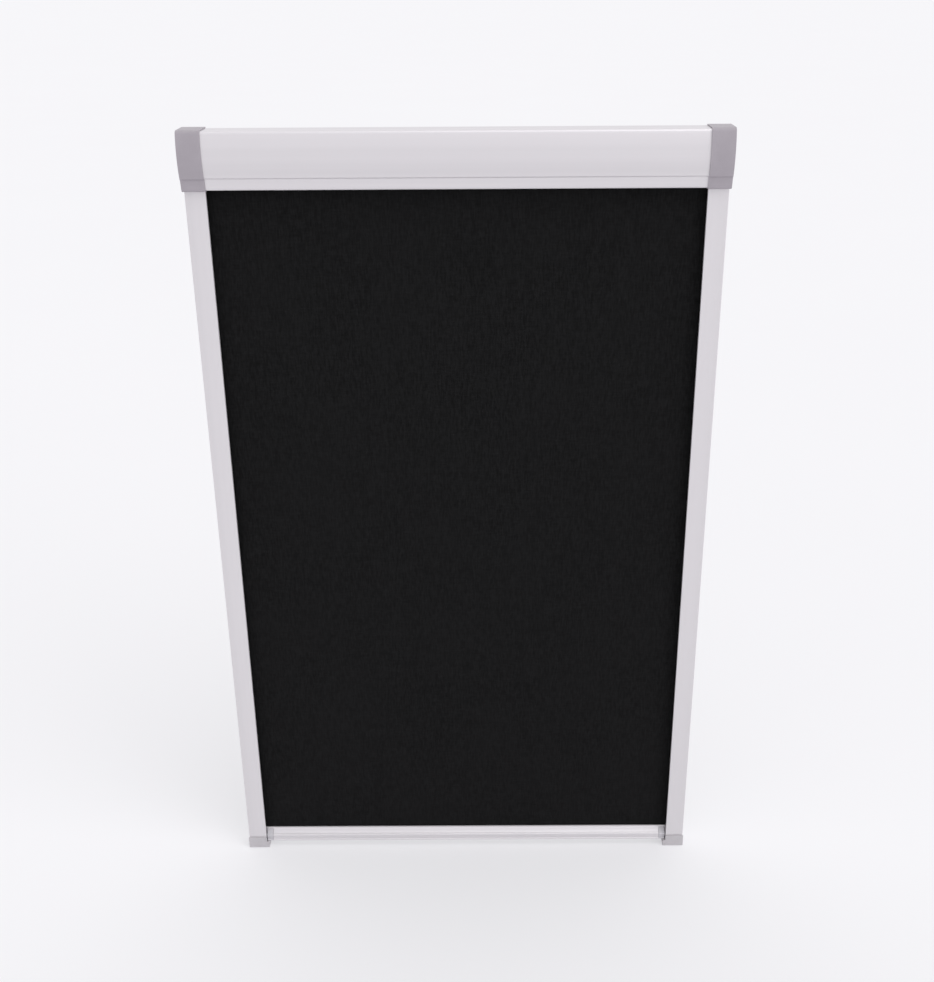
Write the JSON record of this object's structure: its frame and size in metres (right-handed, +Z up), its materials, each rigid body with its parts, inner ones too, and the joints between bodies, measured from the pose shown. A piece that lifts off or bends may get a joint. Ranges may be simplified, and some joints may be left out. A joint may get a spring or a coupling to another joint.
{
  "type": "skylight window blind",
  "caption": "Cassette roller blackout blind for a roof window: curved cassette, side guide channels, spring roller, black fabric and a sliding bottom bar with friction brakes.",
  "frame": {"origin": "middle of the flat back face of the cassette's back profile, which lies against the window sash", "axes": "+Z up along the drop towards the cassette's top, +Y towards the glass, -Y towards the room, +X to the right as seen from the room"},
  "size_m": [0.607, 0.0374, 0.9715],
  "materials": {
    "satin_aluminium": "satin silver lacquer on extruded aluminium",
    "grey_plastic": "fine-grained moulded plastic, mid grey",
    "foot_plastic": "fine-grained moulded plastic, light grey",
    "nylon": "plain natural nylon",
    "zinc_steel": "bright zinc plating",
    "spring_steel": "drawn spring wire and strip, lightly oiled",
    "grey_pile": "woven pile, dark grey",
    "black_fabric": "coated blackout cloth with a fine plain weave, black",
    "spline_vinyl": "extruded soft vinyl cord",
    "felt": "dense black felt"
  },
  "bodies": {
    "root": {"cassette_fascia": "satin_aluminium", "cassette_back": "satin_aluminium", "cassette_seal": "grey_pile", "end_cap_left": "grey_plastic", "end_cap_right": "grey_plastic", "cap_screw_left_upper": "zinc_steel", "cap_screw_left_lower": "zinc_steel", "cap_screw_right_upper": "zinc_steel", "cap_screw_right_lower": "zinc_steel", "bracket_left": "zinc_steel", "bracket_right": "zinc_steel", "channel_left": "satin_aluminium", "channel_right": "satin_aluminium", "pile_seal_front_left": "grey_pile", "pile_seal_back_left": "grey_pile", "pile_seal_front_right": "grey_pile", "pile_seal_back_right": "grey_pile", "foot_left": "foot_plastic", "foot_right": "foot_plastic", "idler_pin": "zinc_steel", "spring_shaft": "zinc_steel", "spring_collar": "grey_plastic", "torsion_spring": "spring_steel", "blackout_fabric": "black_fabric"},
    "roller": {"roller_tube": "satin_aluminium", "idler_plug": "grey_plastic", "idler_bush": "nylon", "drive_plug": "grey_plastic", "roller_spline": "spline_vinyl", "fabric_roll": "black_fabric"},
    "bar": {"bottom_bar": "satin_aluminium", "bar_spline": "spline_vinyl", "bar_seal": "felt", "end_plug_left": "grey_plastic", "end_plug_right": "grey_plastic", "brake_spring_left": "spring_steel", "brake_spring_right": "spring_steel", "brake_pad_left": "felt", "brake_pad_right": "felt"}
  },
  "joints": [
    {"name": "bar_slide", "type": "slide", "parent": "root", "child": "bar", "axis": [0, 0, 1], "range_m": [0, 0.875], "deforming": ["blackout_fabric"]},
    {"name": "roller_spin", "type": "hinge", "parent": "root", "child": "roller", "pos_m": [0, -0.02035, 0.00365], "axis": [1, 0, 0], "range_deg": [0, 4425]}
  ],
  "couplings": [
    {"joint": "roller_spin", "follows": "bar_slide", "rad_per_m": 88.2}
  ]
}
